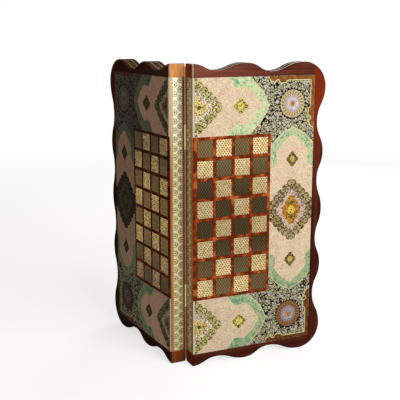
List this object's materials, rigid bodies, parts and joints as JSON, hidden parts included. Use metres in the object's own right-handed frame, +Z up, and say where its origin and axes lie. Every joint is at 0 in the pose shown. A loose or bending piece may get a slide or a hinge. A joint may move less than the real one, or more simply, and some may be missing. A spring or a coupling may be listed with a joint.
{
  "type": "folding chessboard case",
  "caption": "Folding wooden games case with wavy edges, half open: a chess field on the outside, a backgammon field inside, marquetry and painted panels.",
  "frame": {"origin": "middle of the case's bounding box in plan, at the level it stands on", "axes": "+Z up along the hinge, +X from the hinge towards the free edge of the right tray, -Y out of the right tray's chess face"},
  "size_m": [0.2922, 0.2744, 0.5],
  "materials": {
    "frame_wood": "lacquered",
    "wall_wood": "lacquered",
    "board_wood": "plain",
    "field_wood": "lacquered",
    "red_wood": "lacquered",
    "marquetry": "lacquered marquetry",
    "light_squares": "lacquered marquetry",
    "dark_squares": "lacquered marquetry",
    "ornamented_panel": "painted and lacquered",
    "hinge_brass": "pale polished"
  },
  "bodies": {
    "right_tray": {"right_base_board": "board_wood", "right_bottom_band": "marquetry", "right_bottom_rail": "frame_wood", "right_corner_dowels": "board_wood", "right_dark_points": "dark_squares", "right_dark_squares": "dark_squares", "right_face_panel": "ornamented_panel", "right_field_border": "marquetry", "right_field_panel": "field_wood", "right_field_star": "marquetry", "right_free_band": "marquetry", "right_hinge_screws": "hinge_brass", "right_hinge_strip": "marquetry", "right_hinge_wall": "wall_wood", "right_light_points": "light_squares", "right_light_squares": "light_squares", "right_square_lines": "red_wood", "right_stile": "frame_wood", "right_top_band": "marquetry", "right_top_rail": "frame_wood", "upper_hinge_right_leaf": "hinge_brass", "lower_hinge_right_leaf": "hinge_brass", "upper_hinge_pin": "hinge_brass", "lower_hinge_pin": "hinge_brass", "hook_pivots": "hinge_brass"},
    "left_tray": {"left_base_board": "board_wood", "left_bottom_band": "marquetry", "left_bottom_rail": "frame_wood", "left_corner_dowels": "board_wood", "left_dark_points": "dark_squares", "left_dark_squares": "dark_squares", "left_face_panel": "ornamented_panel", "left_field_border": "marquetry", "left_field_panel": "field_wood", "left_field_star": "marquetry", "left_free_band": "marquetry", "left_hinge_screws": "hinge_brass", "left_hinge_strip": "marquetry", "left_hinge_wall": "wall_wood", "left_light_points": "light_squares", "left_light_squares": "light_squares", "left_square_lines": "red_wood", "left_stile": "frame_wood", "left_top_band": "marquetry", "left_top_rail": "frame_wood", "upper_hinge_left_leaf": "hinge_brass", "lower_hinge_left_leaf": "hinge_brass", "hook_studs": "hinge_brass"},
    "upper_hook": {"upper_hook": "hinge_brass"},
    "lower_hook": {"lower_hook": "hinge_brass"}
  },
  "joints": [
    {"name": "case_fold", "type": "hinge", "parent": "right_tray", "child": "left_tray", "pos_m": [-0.10129, -0.10919, 0.25], "axis": [0, 0, 1], "range_deg": [-94, 86]},
    {"name": "upper_hook_swing", "type": "hinge", "parent": "right_tray", "child": "upper_hook", "pos_m": [0.14261, -0.11719, 0.3486], "axis": [1, 0, 0], "range_deg": [-90, 90]},
    {"name": "lower_hook_swing", "type": "hinge", "parent": "right_tray", "child": "lower_hook", "pos_m": [0.14261, -0.11719, 0.1514], "axis": [1, 0, 0], "range_deg": [-90, 90]}
  ]
}
